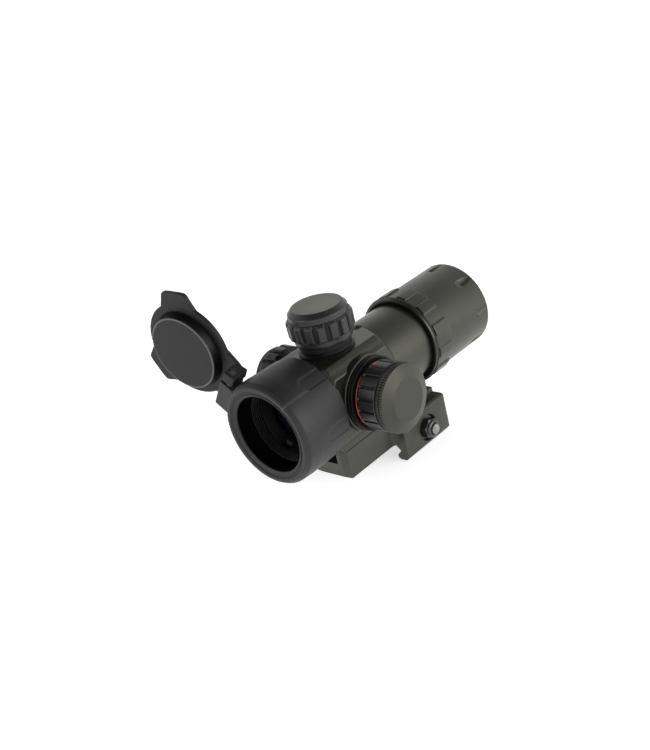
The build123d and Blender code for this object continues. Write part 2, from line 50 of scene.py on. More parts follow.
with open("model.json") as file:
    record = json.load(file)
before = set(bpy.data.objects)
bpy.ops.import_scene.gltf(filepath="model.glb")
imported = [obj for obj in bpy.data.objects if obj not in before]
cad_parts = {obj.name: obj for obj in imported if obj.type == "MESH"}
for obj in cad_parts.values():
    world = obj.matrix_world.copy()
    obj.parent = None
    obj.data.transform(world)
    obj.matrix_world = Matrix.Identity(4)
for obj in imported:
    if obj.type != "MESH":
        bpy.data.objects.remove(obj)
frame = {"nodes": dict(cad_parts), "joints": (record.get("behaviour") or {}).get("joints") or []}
cad_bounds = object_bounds()

MM = 0.001


def box(node):
    """Lowest and highest corner of a CAD node, in millimetres."""
    low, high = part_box(node)
    return np.array(low) / MM, np.array(high) / MM


# ---- sizes read from the frame ----
JOINTS = {joint["name"]: joint for joint in frame["joints"]}
LENS_LOW, LENS_HIGH = box("front_lens")
AXIS_Z = (LENS_LOW[2] + LENS_HIGH[2]) / 2
LENS_FRONT = LENS_LOW[1]
BODY_LOW, BODY_HIGH = box("main_body")
RING_LOW, RING_HIGH = box("front_cap_ring")
SLEEVE_LOW, SLEEVE_HIGH = box("rear_sleeve")
DIAL_LOW, DIAL_HIGH = box("brightness_dial")
CELL_CAP_TOP = box("battery_cap")[1][0]
TURRET_LOW, TURRET_HIGH = box("elevation_cap")
SEAL_LOW, SEAL_HIGH = box("elevation_cap_seal")
CLAMP_LOW, CLAMP_HIGH = box("clamp_base")
JAW_FRONT = box("movable_jaw")[0][1]
STUD_LOW, STUD_HIGH = box("clamp_stud")
STUD_Y = (STUD_LOW[1] + STUD_HIGH[1]) / 2
STUD_Z = (STUD_LOW[2] + STUD_HIGH[2]) / 2
NUT_LOW, NUT_HIGH = box("stud_nut")
WASHER_LOW, WASHER_HIGH = box("stud_washer")

# ---- sizes of the housing ----
TUBE_R = 15.4
TUBE_STEP = 0.25            # how far the tube is turned down inside the block
BELL_R = 17.4
HOOD_R = 14.2
HOOD_REAR = -25.5
LIP_R = 14.5                # opening of the front ring
BORE_R = 13.4
LENS_SEAT_R = 14.0
BLOCK_HALF = 15.3
BLOCK_CORNER = 11.4
BLOCK_CORNER_R = 19.2
BLOCK_FRONT = -13.8
BLOCK_REAR = 13.2
BLOCK_END = 18.8            # where the block's rear slope has run out into the tube
EDGE = 0.35
THREAD_RINGS = 5
THREAD_PITCH = 0.8
THREAD_DEPTH = 0.34
NECK_BORE_R = 8.05
DIAL_SEAT = 17.0


# ---- shapes ----
class Place:
    """A local frame for a shape: its start and three directions, in millimetres in the row's frame."""

    def __init__(self, origin, zero, ninety, along):
        self.origin = np.array(origin, float)
        self.zero = np.array(zero, float)
        self.ninety = np.array(ninety, float)
        self.along = np.array(along, float)

    def points(self, first, second, third):
        """Points from their coordinates along the three directions."""
        parts = np.multiply.outer(first, self.zero) + np.multiply.outer(second, self.ninety)
        return self.origin + parts + np.multiply.outer(third, self.along)

    def polar(self, radius, angle, height):
        return self.points(radius * np.cos(angle), radius * np.sin(angle), height)


CENTRE = (0, 0, AXIS_Z)
OPTICAL = Place(CENTRE, (1, 0, 0), (0, 0, 1), (0, 1, 0))
ELEVATION = Place(CENTRE, (1, 0, 0), (0, 1, 0), (0, 0, 1))
WINDAGE = Place(CENTRE, (0, 0, 1), (0, 1, 0), (-1, 0, 0))
DIAL = Place(CENTRE, (0, -1, 0), (0, 0, 1), (1, 0, 0))
ROW = Place((0, 0, 0), (1, 0, 0), (0, 1, 0), (0, 0, 1))
ACROSS = Place((0, 0, 0), (0, 1, 0), (0, 0, 1), (1, 0, 0))
LENGTHWISE = Place((0, 0, 0), (1, 0, 0), (0, 0, 1), (0, 1, 0))

HINGE_AXIS = np.array(JOINTS["lid_hinge"]["axis"])
HINGE_POINT = np.array(JOINTS["lid_hinge"]["pos_m"]) / MM
HINGE = Place(HINGE_POINT, np.cross((0, 1, 0), -HINGE_AXIS), (0, 1, 0), -HINGE_AXIS)


def rounded(points, steps=4, closed=True):
    """An outline of (x, y, fillet) corners, each rounded by a short curve."""
    outline = []
    count = len(points)
    for i, (x, y, fillet) in enumerate(points):
        corner = np.array((x, y), float)
        if fillet == 0 or (not closed and i in (0, count - 1)):
            outline.append(corner)
            continue
        before = np.array(points[i - 1][:2], float) - corner
        after = np.array(points[(i + 1) % count][:2], float) - corner
        before /= np.linalg.norm(before)
        after /= np.linalg.norm(after)
        turn = math.acos(np.clip(before @ after, -1, 1))
        reach = fillet / math.tan(turn / 2)
        for t in np.linspace(0, 1, steps + 1):
            weight = (1 - t) ** 2
            outline.append(corner + before * reach * weight + after * reach * t ** 2)
    return np.array(outline)


def refined(outline, step, closed=True):
    """The outline with long stretches divided, so that no stretch is over one step."""
    points = []
    count = len(outline)
    for i in range(count if closed else count - 1):
        start, end = outline[i], outline[(i + 1) % count]
        pieces = max(1, math.ceil(np.linalg.norm(end - start) / step))
        points += [start + (end - start) * k / pieces for k in range(pieces)]
    if not closed:
        points.append(outline[-1])
    return np.array(points)


def mesh_object(name, points, faces):
    """A shaded object from points in millimetres."""
    mesh = bpy.data.meshes.new(name)
    mesh.from_pydata((points.reshape(-1, 3) * MM).tolist(), [], faces)
    work = bmesh.new()
    work.from_mesh(mesh)
    bmesh.ops.remove_doubles(work, verts=work.verts, dist=1e-7)
    bmesh.ops.recalc_face_normals(work, faces=work.faces)
    work.to_mesh(mesh)
    work.free()
    mesh.shade_smooth()
    piece = bpy.data.objects.new(name, mesh)
    bpy.context.scene.collection.objects.link(piece)
    return piece


def skin(name, rows, closed):
    """A surface through rows of points. Each row is a loop. The last row joins the first when closed, and
    otherwise both ends are filled flat."""
    row_count, column_count = rows.shape[:2]
    index = np.arange(row_count * column_count).reshape(row_count, column_count)
    upper = np.roll(index, -1, axis=0) if closed else index[1:]
    lower = index if closed else index[:-1]
    faces = np.stack([lower, np.roll(lower, -1, axis=1), np.roll(upper, -1, axis=1), upper], axis=-1)
    faces = faces.reshape(-1, 4).tolist()
    if not closed:
        faces += [index[0].tolist(), index[-1].tolist()]
    return mesh_object(name, rows, faces)


def turned(name, place, outline, segments=192, closed=True, shape=None):
    """Turn an outline of (radius, height) points. An open outline is filled flat at both ends.
    shape changes the radius at each radius, height and angle."""
    angle = np.linspace(0, 2 * np.pi, segments, endpoint=False)[None, :]
    radius = np.repeat(outline[:, :1], segments, axis=1)
    height = np.repeat(outline[:, 1:], segments, axis=1)
    if shape:
        radius = shape(radius, height, angle)
    return skin(name, place.polar(radius, np.broadcast_to(angle, radius.shape), height), closed)


def bar(name, place, outline, low, high, edge=0.25):
    """A closed outline made solid between two heights, with its end edges rounded."""
    ahead = np.roll(outline, -1, axis=0) - outline
    behind = outline - np.roll(outline, 1, axis=0)
    ahead /= np.linalg.norm(ahead, axis=1, keepdims=True)
    behind /= np.linalg.norm(behind, axis=1, keepdims=True)
    tangent = ahead + behind
    tangent /= np.linalg.norm(tangent, axis=1, keepdims=True)
    inward = np.stack([-tangent[:, 1], tangent[:, 0]], axis=1)
    x, y = outline.T
    area = np.sum(x * np.roll(y, -1) - y * np.roll(x, -1)) / 2
    inward *= math.copysign(1, area)
    quarter = np.linspace(0, np.pi / 2, 4)
    rows = []
    for turns, level, way in ((quarter, low, 1), (quarter[::-1], high, -1)):
        for turn in turns:
            inset, rise = edge * (1 - math.sin(turn)), edge * (1 - math.cos(turn))
            rows.append(loop_at(place, outline + inward * inset, level + way * rise))
    return skin(name, np.array(rows), closed=False)


def prism(name, place, outline, low, high):
    """A closed outline made solid between two heights, with sharp edges."""
    outline = np.asarray(outline, float)
    rows = np.array([loop_at(place, outline, low), loop_at(place, outline, high)])
    return skin(name, rows, closed=False)


def loop_at(place, outline, height):
    return place.points(outline[:, 0], outline[:, 1], np.full(len(outline), height))


def circle(radius, centre=(0, 0), segments=64):
    angle = np.linspace(0, 2 * np.pi, segments, endpoint=False)
    return np.stack([centre[0] + radius * np.cos(angle), centre[1] + radius * np.sin(angle)], axis=1)


def boolean(piece, tool, operation):
    """Cut a tool from a piece or join it on, and remove the tool."""
    change = piece.modifiers.new("boolean", "BOOLEAN")
    change.operation = operation
    change.solver = "EXACT"
    change.object = tool
    settled = piece.evaluated_get(bpy.context.evaluated_depsgraph_get())
    piece.data = bpy.data.meshes.new_from_object(settled)
    piece.modifiers.clear()
    bpy.data.objects.remove(tool)
    return piece


def cut_holes(piece, name, place, radius, centres, low, high, segments=64):
    """Cut the same round hole at several places."""
    for centre in centres:
        hole = prism(name, place, circle(radius, centre, segments), low, high)
        piece = boolean(piece, hole, "DIFFERENCE")
    return piece


def joined(pieces):
    """Several pieces as one object."""
    work = bmesh.new()
    for piece in pieces:
        work.from_mesh(piece.data)
    first = pieces[0]
    work.to_mesh(first.data)
    work.free()
    for piece in pieces[1:]:
        bpy.data.objects.remove(piece)
    return first


def smooth_least(a, b, soft):
    blend = np.clip(0.5 + 0.5 * (b - a) / soft, 0, 1)
    return b + (a - b) * blend - soft * blend * (1 - blend)


def smooth_most(a, b, soft):
    return -smooth_least(-a, -b, soft)


def ramp(value, low, high):
    """Rises smoothly from 0 at low to 1 at high."""
    t = np.clip((value - low) / (high - low), 0, 1)
    return t * t * (3 - 2 * t)


def window(value, low, high, soft):
    """1 between low and high, falling smoothly to 0 outside."""
    return ramp(value, low - soft / 2, low + soft / 2) * (1 - ramp(value, high - soft / 2, high + soft / 2))


def nearest(angle, count, first=0.0):
    """Angle from the nearest of some equal places round the circle, the first one given in degrees."""
    step = 2 * np.pi / count
    return (angle - math.radians(first) + step / 2) % step - step / 2


# ---- materials ----
def new_material(name):
    material = bpy.data.materials.new(name)
    material.use_nodes = True
    nodes = material.node_tree.nodes
    return material, nodes, material.node_tree.links, nodes["Principled BSDF"]


CLOUD_SCALE, CLOUD_DETAIL = 90, 5
SPECK_SCALE, SPECK_DETAIL = 2600, 3
SPECK_STRENGTH = 0.35
WEAR_FROM, WEAR_TO = 0.53, 0.62         # pointiness where wear starts and where it is full
ROUGH_SPREAD = 0.06
HAZE_SCALE, HAZE_DETAIL = 140, 2
HAZE_SHADE, HAZE_ROUGH = 0.85, 0.03
GLASS_CLEARNESS, GLASS_INDEX = 0.95, 1.5


def add_noise(nodes, links, place, scale, detail):
    noise = nodes.new("ShaderNodeTexNoise")
    noise.inputs["Scale"].default_value = scale
    noise.inputs["Detail"].default_value = detail
    links.new(place.outputs["Object"], noise.inputs["Vector"])
    return noise


def add_range(nodes, links, source, low, high):
    """Spread a value between 0 and 1 over another range."""
    spread = nodes.new("ShaderNodeMapRange")
    spread.inputs["To Min"].default_value = low
    spread.inputs["To Max"].default_value = high
    links.new(source, spread.inputs["Value"])
    return spread


def add_shade(nodes, links, factor, second):
    """Mix towards a second colour by a factor."""
    shade = nodes.new("ShaderNodeMix")
    shade.data_type = "RGBA"
    shade.inputs["B"].default_value = (*second, 1)
    links.new(factor, shade.inputs["Factor"])
    return shade


def finish_material(name, dark, light, roughness, grain=0.012, metallic=0.0, wear=0.5, gloss=0.9,
                    sheen=(1, 1, 1)):
    """A coated or moulded surface: two shades in soft clouds, fine grain, and paler worn edges."""
    material, nodes, links, shader = new_material(name)
    place = nodes.new("ShaderNodeTexCoord")
    clouds = add_noise(nodes, links, place, CLOUD_SCALE, CLOUD_DETAIL)
    specks = add_noise(nodes, links, place, SPECK_SCALE, SPECK_DETAIL)
    shade = add_shade(nodes, links, clouds.outputs["Fac"], light)
    shade.inputs["A"].default_value = (*dark, 1)
    shape = nodes.new("ShaderNodeNewGeometry")
    edges = add_range(nodes, links, shape.outputs["Pointiness"], 0, wear)
    edges.inputs["From Min"].default_value = WEAR_FROM
    edges.inputs["From Max"].default_value = WEAR_TO
    worn = add_shade(nodes, links, edges.outputs["Result"], [min(1, 2.2 * c + 0.02) for c in light])
    links.new(shade.outputs["Result"], worn.inputs["A"])
    links.new(worn.outputs["Result"], shader.inputs["Base Color"])
    smoothest, roughest = roughness - ROUGH_SPREAD, roughness + ROUGH_SPREAD
    rough = add_range(nodes, links, clouds.outputs["Fac"], smoothest, roughest)
    links.new(rough.outputs["Result"], shader.inputs["Roughness"])
    bump = nodes.new("ShaderNodeBump")
    bump.inputs["Strength"].default_value = SPECK_STRENGTH
    bump.inputs["Distance"].default_value = grain * MM
    links.new(specks.outputs["Fac"], bump.inputs["Height"])
    links.new(bump.outputs["Normal"], shader.inputs["Normal"])
    shader.inputs["Metallic"].default_value = metallic
    shader.inputs["Specular IOR Level"].default_value = gloss
    shader.inputs["Specular Tint"].default_value = (*sheen, 1)
    return material


def glass_material(name, tint):
    """Coated glass: tinted, clear, with a faint haze."""
    material, nodes, links, shader = new_material(name)
    place = nodes.new("ShaderNodeTexCoord")
    haze = add_noise(nodes, links, place, HAZE_SCALE, HAZE_DETAIL)
    shade = add_shade(nodes, links, haze.outputs["Fac"], [c * HAZE_SHADE for c in tint])
    shade.inputs["A"].default_value = (*tint, 1)
    links.new(shade.outputs["Result"], shader.inputs["Base Color"])
    rough = add_range(nodes, links, haze.outputs["Fac"], 0, HAZE_ROUGH)
    links.new(rough.outputs["Result"], shader.inputs["Roughness"])
    shader.inputs["Transmission Weight"].default_value = GLASS_CLEARNESS
    shader.inputs["IOR"].default_value = GLASS_INDEX
    return material


WARM = (1, 0.99, 0.84)      # tint of the coated surfaces' reflections

ANODISED = finish_material("anodised_black", (0.004, 0.004, 0.0039), (0.009, 0.0088, 0.0082), 0.4,
                           gloss=0.6)
TUBE_COAT = finish_material("tube_coat", (0.006, 0.006, 0.0056), (0.012, 0.0118, 0.0105), 0.34,
                            grain=0.006, gloss=0.7, sheen=WARM)
MOULDED = finish_material("moulded_black", (0.011, 0.011, 0.0108), (0.018, 0.0178, 0.0172), 0.5,
                          grain=0.02, gloss=0.4)
CLAMP_COAT = finish_material("clamp_coat", (0.011, 0.011, 0.0105), (0.019, 0.0186, 0.0172), 0.46,
                             grain=0.02, gloss=0.6, sheen=WARM)
# Paler black for the lid plug's rim: a painted highlight along the rim's bevel.
RIM_HIGHLIGHT = finish_material("rim_painted_highlight", (0.024, 0.024, 0.0235), (0.036, 0.036, 0.035), 0.45, wear=0.2)
# Much paler black for the turret caps' top faces: painted light, the tops drawn lighter than the caps'
# sides.
TURRET_TOP_PAINTED_LIGHT = finish_material("turret_top_painted_light", (0.042, 0.041, 0.035), (0.062, 0.06, 0.05), 0.45,
                             grain=0.02, sheen=WARM)
# Darker copy of the moulded black for the lid and its knuckle, the same plastic as the ring: painted shade
# on the lid.
LID_SHADED_BLACK = finish_material("lid_black_painted_shade", (0.004, 0.004, 0.004), (0.008, 0.008, 0.0078), 0.5,
                           grain=0.02, gloss=0.3)
# Near-black that is painted shade on the slot floors, thread crests, turret bosses and the lid's plug wall;
# also the dial collar's and lens ring's black.
DEEP_BLACK_AND_SHADE = finish_material("deep_black_and_painted_shade", (0.002, 0.002, 0.002), (0.005, 0.005, 0.0048), 0.42, gloss=0.18)
# Near-black that is painted shade: inside the front bore, on the turret necks under the caps and in the
# dial's groove.
SHADE_BLACK = finish_material("painted_shade_black", (0.0003, 0.0003, 0.0003), (0.0012, 0.0012, 0.0012), 0.7,
                             wear=0.2, gloss=0.02)
RUBBER = finish_material("rubber_black", (0.006, 0.006, 0.006), (0.012, 0.012, 0.012), 0.7,
                         grain=0.03, wear=0.1, gloss=0.25)
DARK_STEEL = finish_material("dark_steel", (0.05, 0.05, 0.05), (0.09, 0.09, 0.088), 0.36, metallic=0.8)
BRIGHT_STEEL = finish_material("bright_steel", (0.2, 0.2, 0.195), (0.28, 0.28, 0.275), 0.34, metallic=1.0)
SPRING_STEEL = finish_material("spring_steel", (0.3, 0.3, 0.3), (0.42, 0.42, 0.42), 0.33, metallic=1.0)
BRASS = finish_material("contact_brass", (0.62, 0.45, 0.2), (0.78, 0.6, 0.3), 0.3, metallic=1.0)
BOARD = finish_material("board_green", (0.004, 0.014, 0.008), (0.007, 0.02, 0.012), 0.5)
LAMP = finish_material("lamp_red", (0.4, 0.01, 0.01), (0.55, 0.02, 0.02), 0.2)
RED_PAINT = finish_material("red_paint", (0.42, 0.025, 0.02), (0.55, 0.04, 0.03), 0.5, wear=0.0)
COATED_GLASS = glass_material("coated_glass", (0.1, 0.08, 0.17))


def dress(piece, material, body, slot, *nodes):
    """Material, body and replaced CAD nodes of a new piece; the slot argument is not used."""
    piece.data.materials.clear()
    piece.data.materials.append(material)
    even = piece.modifiers.new("even_shading", "WEIGHTED_NORMAL")
    even.keep_sharp = True
    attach(piece, body)
    if nodes:
        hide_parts(*nodes)
    return piece


# ---- main housing ----
FAR = 99.0              # a radius beyond every piece
GRAZING = 0.3           # least cosine at which a flat is followed


def block_radius(angle, y):
    """Outside of the turret block, tube and bell at an angle and a place along the optical axis."""
    octagon = np.full(np.broadcast(angle, y).shape, FAR)
    slant = (BLOCK_HALF + BLOCK_CORNER) / math.sqrt(2)
    for i in range(8):
        distance = slant if i % 2 else BLOCK_HALF
        facing = np.cos(angle - i * np.pi / 4)
        reach = np.where(facing > GRAZING, distance / np.maximum(facing, GRAZING), FAR)
        octagon = smooth_least(octagon, reach, EDGE)
    front = BELL_R + (y - RING_HIGH[1])
    rear = BLOCK_CORNER_R - (y - BLOCK_REAR)
    block = smooth_least(octagon, BLOCK_CORNER_R, EDGE)
    block = smooth_least(block, front, EDGE)
    block = smooth_least(block, rear, EDGE)
    step = TUBE_STEP * window(y, BLOCK_FRONT, BLOCK_REAR + 2.0, 0.5)
    tube = np.where(y < BLOCK_FRONT, BELL_R, TUBE_R - step)
    return np.where(y < RING_HIGH[1] - 0.1, BELL_R, smooth_most(block, tube, 0.12))


def index_notch(radius, angle, y):
    """Small square pocket on the block's top face, behind the turret."""
    half, start, end, floor_height, soft = 1.4, 15.0, 18.2, 14.6, 0.25
    side = radius * np.cos(angle)
    floor = floor_height / np.maximum(np.sin(angle), GRAZING)
    inside = window(side, -half, half, soft) * window(y, start, end, soft) * (np.sin(angle) > GRAZING)
    return radius + inside * (np.minimum(radius, floor) - radius)


def make_housing():
    segments, fine, coarse = 480, 0.22, 1.0
    angle = np.linspace(0, 2 * np.pi, segments, endpoint=False)[None, :]
    front, rear = BODY_LOW[1], BODY_HIGH[1]
    stations = np.concatenate([
        [front, front + 0.2], np.linspace(front + 0.5, RING_HIGH[1] - 0.3, 6),
        np.arange(RING_HIGH[1], BLOCK_FRONT + 1.0, fine),
        np.arange(BLOCK_FRONT + 1.0, BLOCK_REAR - 0.8, coarse),
        np.arange(BLOCK_REAR - 0.8, BLOCK_END, fine),
        np.linspace(BLOCK_END + 0.4, rear - 0.4, 16), [rear - 0.2, rear]])
    y = np.repeat(stations[:, None], segments, axis=1)
    outer = index_notch(block_radius(angle, y), angle, y)
    outer[0] -= 0.25
    outer[-1] -= 0.25
    inner = rounded([(BORE_R, rear, 0.15), (BORE_R, LENS_FRONT, 0), (LENS_SEAT_R, LENS_FRONT, 0),
                     (LENS_SEAT_R, HOOD_REAR, 0), (HOOD_R + 0.15, HOOD_REAR, 0), (HOOD_R + 0.15, front, 0)])
    inner_radius = np.repeat(inner[:, :1], segments, axis=1)
    inner_y = np.repeat(inner[:, 1:], segments, axis=1)
    radius = np.concatenate([outer, inner_radius])
    height = np.concatenate([y, inner_y])
    rows = OPTICAL.polar(radius, np.broadcast_to(angle, radius.shape), height)
    housing = skin("housing_shell", rows, closed=True)
    dress(housing, TUBE_COAT, "housing", "anodised_black", "main_body")

    make_hood_lining(front)
    make_hood_thread()

    half_x, half_y, corner = 9, 11.9, 0.5
    foot = rounded([(-half_x, -half_y, corner), (half_x, -half_y, corner), (half_x, half_y, corner),
                    (-half_x, half_y, corner)])
    pedestal = bar("housing_foot", ROW, foot, CLAMP_HIGH[2] + 0.12, AXIS_Z - 14.0, edge=0.3)
    dress(pedestal, TUBE_COAT, "housing", "anodised_black")
    make_bosses()


def make_hood_lining(front):
    """Thin wall over the hood's bore and the front ring's opening; its near-black is painted shade inside
    the bore.
    """
    lip_front = RING_LOW[1] + 1.6
    lining = [(LIP_R - 0.01, lip_front), (LIP_R - 0.01, front - 0.05), (HOOD_R + 0.14, front - 0.05),
              (HOOD_R + 0.14, HOOD_REAR), (HOOD_R, HOOD_REAR), (HOOD_R, front - 0.05),
              (LIP_R - 0.08, front - 0.05), (LIP_R - 0.08, lip_front)]
    piece = turned("hood_shade_sheet", OPTICAL, np.array(lining, float), segments=240)
    dress(piece, SHADE_BLACK, "housing", "anodised_black")


def make_hood_thread():
    crests = []
    for k in range(THREAD_RINGS):
        crest = HOOD_REAR - 0.35 - THREAD_PITCH * k
        inside, root = HOOD_R - THREAD_DEPTH, HOOD_R + 0.02
        section = [(root, crest), (inside, crest - 0.13), (inside, crest - 0.2), (root, crest - 0.33)]
        crests.append(turned("crest", OPTICAL, np.array(section, float), segments=240))
    threads = joined(crests)
    threads.name = "hood_thread"
    # The thread crests' near-black is painted shade inside the bore.
    dress(threads, DEEP_BLACK_AND_SHADE, "housing", "anodised_black")


def make_bosses():
    """Round seats of the turrets and of the dial on the block's flats."""
    root = 14.0
    seat = 17.5
    for name, place in (("elevation", ELEVATION), ("windage", WINDAGE)):
        boss = rounded([(NECK_BORE_R, root, 0), (10.2, root, 0), (10.2, 15.9, 0.15), (9.3, 16.2, 0.4),
                        (9.3, seat, 0.2), (NECK_BORE_R, seat, 0)])
        # The turret bosses' near-black is painted shade under the caps.
        dress(turned(f"{name}_boss", place, boss), DEEP_BLACK_AND_SHADE, "housing", "anodised_black")
    boss = rounded([(NECK_BORE_R, root, 0), (13.9, root, 0), (13.9, DIAL_SEAT, 0.4),
                    (NECK_BORE_R, DIAL_SEAT, 0)])
    dress(turned("dial_boss", DIAL, boss, segments=240), TUBE_COAT, "housing", "anodised_black")


# ---- front ring ----
# Along the hinge pin: both ends of the ring's lug and of the lid's knuckle.
PIN_LUG = (-3.9, 7.4)
PIN_KNUCKLE = (-9.4, -5.2)
LUG_FRONT = -2.4
SPRING_POCKET_R = 1.65
SPRING_POCKET_END = 0.6
LUG_PIN_R = 1.03
KNUCKLE_PIN_R = 1.08


def leaning(piece, point):
    """Tip a cutting piece by 45 degrees about a line along +Y through a point."""
    middle = Vector(point)
    turn = Matrix.Rotation(math.radians(45), 4, Vector((0, 1, 0)))
    piece.data.transform(Matrix.Translation(middle) @ turn @ Matrix.Translation(-middle))
    return piece


def make_front_ring():
    rear, front = RING_HIGH[1], RING_LOW[1]
    outer_r = RING_HIGH[0]
    outline = rounded([
        (BELL_R + 0.05, rear, 0), (outer_r - 0.3, rear, 0.35), (outer_r, -31.0, 8.0),
        (outer_r - 0.25, front + 1.6, 1.6), (outer_r - 1.5, front, 1.0), (16.9, front + 0.1, 0.3),
        (16.2, front + 0.9, 0.25), (15.75, front + 0.9, 0.2), (15.5, front + 0.45, 0.2),
        (LIP_R, front + 1.1, 0.25), (LIP_R, -34.05, 0), (BELL_R + 0.05, -34.05, 0)], steps=6)
    outline = refined(outline, 0.5)
    flute_count, flute_start, flute_half, flute_depth = 6, -26.7, math.radians(8.5), 0.22
    flute_round = 2.7

    def shape(radius, height, angle):
        across = nearest(angle, flute_count, 52.0)
        end = flute_start + flute_round
        length = np.where(height < end, (height - end) / flute_round, 0.0)
        inside = 1 - ramp(np.hypot(across / flute_half, length), 0.86, 1.0)
        return radius - flute_depth * inside * (radius > outer_r - 0.9) * (height > flute_start)

    ring = turned("lid_ring", OPTICAL, outline, segments=420, shape=shape)
    dress(ring, MOULDED, "housing", "black_plastic", "front_cap_ring")

    inner_x, outer_x, lug_rear = -6.5, 2.9, 4.2
    lug = rounded([(inner_x, lug_rear, 0), (inner_x, LUG_FRONT, 0), (outer_x, LUG_FRONT, 0.5),
                   (outer_x, 2.5, 0.5), (1.4, lug_rear, 0.5)])
    low, high = PIN_LUG
    piece = bar("hinge_lug", HINGE, lug, low, high, edge=0.35)
    corner = prism("corner", HINGE, [(4.0, -4), (4.0, 6), (0, 6), (0, -4)], high - 0.1, high + 3)
    tilt = HINGE.points([2.2], [0], [high])[0]
    piece = boolean(piece, leaning(corner, tilt), "DIFFERENCE")
    space = prism("ring_space", OPTICAL, circle(BELL_R + 0.3, segments=192), front - 5, rear)
    piece = boolean(piece, space, "DIFFERENCE")
    piece = cut_holes(piece, "spring_hole", HINGE, SPRING_POCKET_R, [(0, 0)], low - 1, SPRING_POCKET_END)
    piece = cut_holes(piece, "pin_hole", HINGE, LUG_PIN_R, [(0, 0)], low - 1, high + 1)
    dress(softened(piece, 0.12, 2), MOULDED, "housing", "black_plastic")


# ---- lid ----
LID_R = 18.0
LID_INNER = -37.5
LID_OUTER = -40.0
LID_PLUG_R = 14.1
LID_PLUG_FACE = -34.1
# Half outlines, from root to tip: out from the lid's middle, and across.
LID_TAB = [(12, 7.4), (17.0, 7.6), (19.0, 6.7), (21.7, 5.6), (22.3, 4.8), (22.5, 0)]
LID_ARM = [(13.2, 10.6), (15.1, 10.2), (18.1, 9.4), (21.0, 8.2), (22.5, 6.6), (23.3, 4.4), (23.4, 0)]


def lid_edge(angle):
    """Outside of the lid with its two finger tabs and its hinge arm."""
    hinge_angle = math.atan2(HINGE_POINT[2] - AXIS_Z, HINGE_POINT[0])
    edge = np.full(np.shape(angle), LID_R)
    for side, outline in ((-120, LID_TAB), (0, LID_ARM), (120, LID_TAB)):
        reach = np.array([np.hypot(x, y) for x, y in outline])[::-1]
        turn = np.array([math.atan2(y, x) for x, y in outline])[::-1]
        offset = (angle - hinge_angle - math.radians(side) + np.pi) % (2 * np.pi) - np.pi
        tab = np.interp(np.abs(offset), turn, reach, right=0)
        edge = smooth_most(edge, tab, 0.7)
    return edge


def swing_open(piece):
    """Turn a piece made on the shut lid to the lid's rest place."""
    shut = JOINTS["lid_hinge"]["range_deg"][1]
    point = Vector(HINGE_POINT * MM)
    turn = Matrix.Rotation(-math.radians(shut), 4, Vector(HINGE_AXIS))
    piece.data.transform(Matrix.Translation(point) @ turn @ Matrix.Translation(-point))
    return piece


def make_lid():
    outline = rounded([
        (LID_R - 4.0, LID_OUTER, 0), (LID_R - 1.4, LID_OUTER, 1.2), (LID_R, LID_OUTER + 1.2, 0.5),
        (LID_R, LID_INNER, 0.35), (15.3, LID_INNER, 0.5), (LID_PLUG_R, LID_INNER - 0.3, 0.3),
        (LID_PLUG_R, LID_PLUG_FACE - 0.3, 0.12),
        (LID_PLUG_R - 0.25, LID_PLUG_FACE, 0.12), (LID_PLUG_R - 1.2, LID_PLUG_FACE, 0)],
        closed=False)
    outline = refined(outline, 1.2, closed=False)

    def shape(radius, height, angle):
        stretch = (lid_edge(angle) - LID_R) * ramp(radius, 15.6, LID_R - 0.5)
        return radius + stretch

    lid = turned("lid_plate", OPTICAL, outline, segments=480, closed=False, shape=shape)
    dress(swing_open(lid), LID_SHADED_BLACK, "lid", "black_plastic", "lid")

    plug_r, face = LID_PLUG_R, LID_PLUG_FACE
    # Thin pale ring on the plug's bevelled edge: a painted highlight.
    rim = np.array([(plug_r - 0.6, face - 0.3), (plug_r - 0.6, face + 0.02), (plug_r - 0.18, face + 0.02),
                    (plug_r + 0.02, face - 0.18), (plug_r + 0.02, face - 0.4)])
    dress(swing_open(turned("plug_rim", OPTICAL, rim, segments=240)), RIM_HIGHLIGHT, "lid", "black_plastic")
    # Black wall over the plug's side: painted shade in the groove round the plug.
    wall = np.array([(plug_r - 0.3, LID_INNER - 0.1), (plug_r - 0.3, face - 0.5),
                     (plug_r + 0.03, face - 0.5), (plug_r + 0.03, LID_INNER + 0.5),
                     (plug_r + 0.9, LID_INNER + 0.03)])
    dress(swing_open(turned("plug_wall_painted_shade", OPTICAL, wall, segments=240)), DEEP_BLACK_AND_SHADE, "lid", "black_plastic")

    foot, half = LID_INNER - 0.3 - HINGE_POINT[1], 2.4
    knuckle = rounded([(-half, foot, 0), (half, foot, 0), (half, half, 0.9), (-half, half, 0.9)])
    low, high = PIN_KNUCKLE
    piece = bar("lid_knuckle", HINGE, knuckle, low, high, edge=0.5)
    piece = cut_holes(piece, "pin_hole", HINGE, KNUCKLE_PIN_R, [(0, 0)], low - 1, high + 1)
    dress(swing_open(piece), LID_SHADED_BLACK, "lid", "black_plastic")


# ---- turrets ----
NECK_TOP = 22.6
SLOT_COUNT = 16
SLOT_HALF = 0.8
SLOT_DEPTH = 1.25


def make_turret(name, place):
    """Neck, seal and slotted screw cap of one turret."""
    bore, root, seat = 5.5, 14.0, 17.5
    neck = rounded([(bore, 19.9, 0), (bore, NECK_TOP, 0.15), (8.5, NECK_TOP, 0.2), (8.6, 22.0, 0),
                    (8.6, seat, 0), (7.9, seat, 0), (7.9, root, 0), (bore, root, 0)])
    # The neck's near-black is painted shade under the cap's flange.
    dress(turned(f"{name}_neck", place, neck), SHADE_BLACK, "housing", "anodised_black", f"{name}_base")
    low, high = SEAL_LOW[2] - AXIS_Z, SEAL_HIGH[2] - AXIS_Z
    seal = turned(f"{name}_ring_seal", place,
                  rounded([(8.65, low, 0), (9.5, low, 0.3), (9.5, high, 0.3), (8.65, high, 0)]))
    dress(seal, RUBBER, f"{name}_seal", "rubber_black", f"{name}_cap_seal")
    make_turret_cap(name, place)


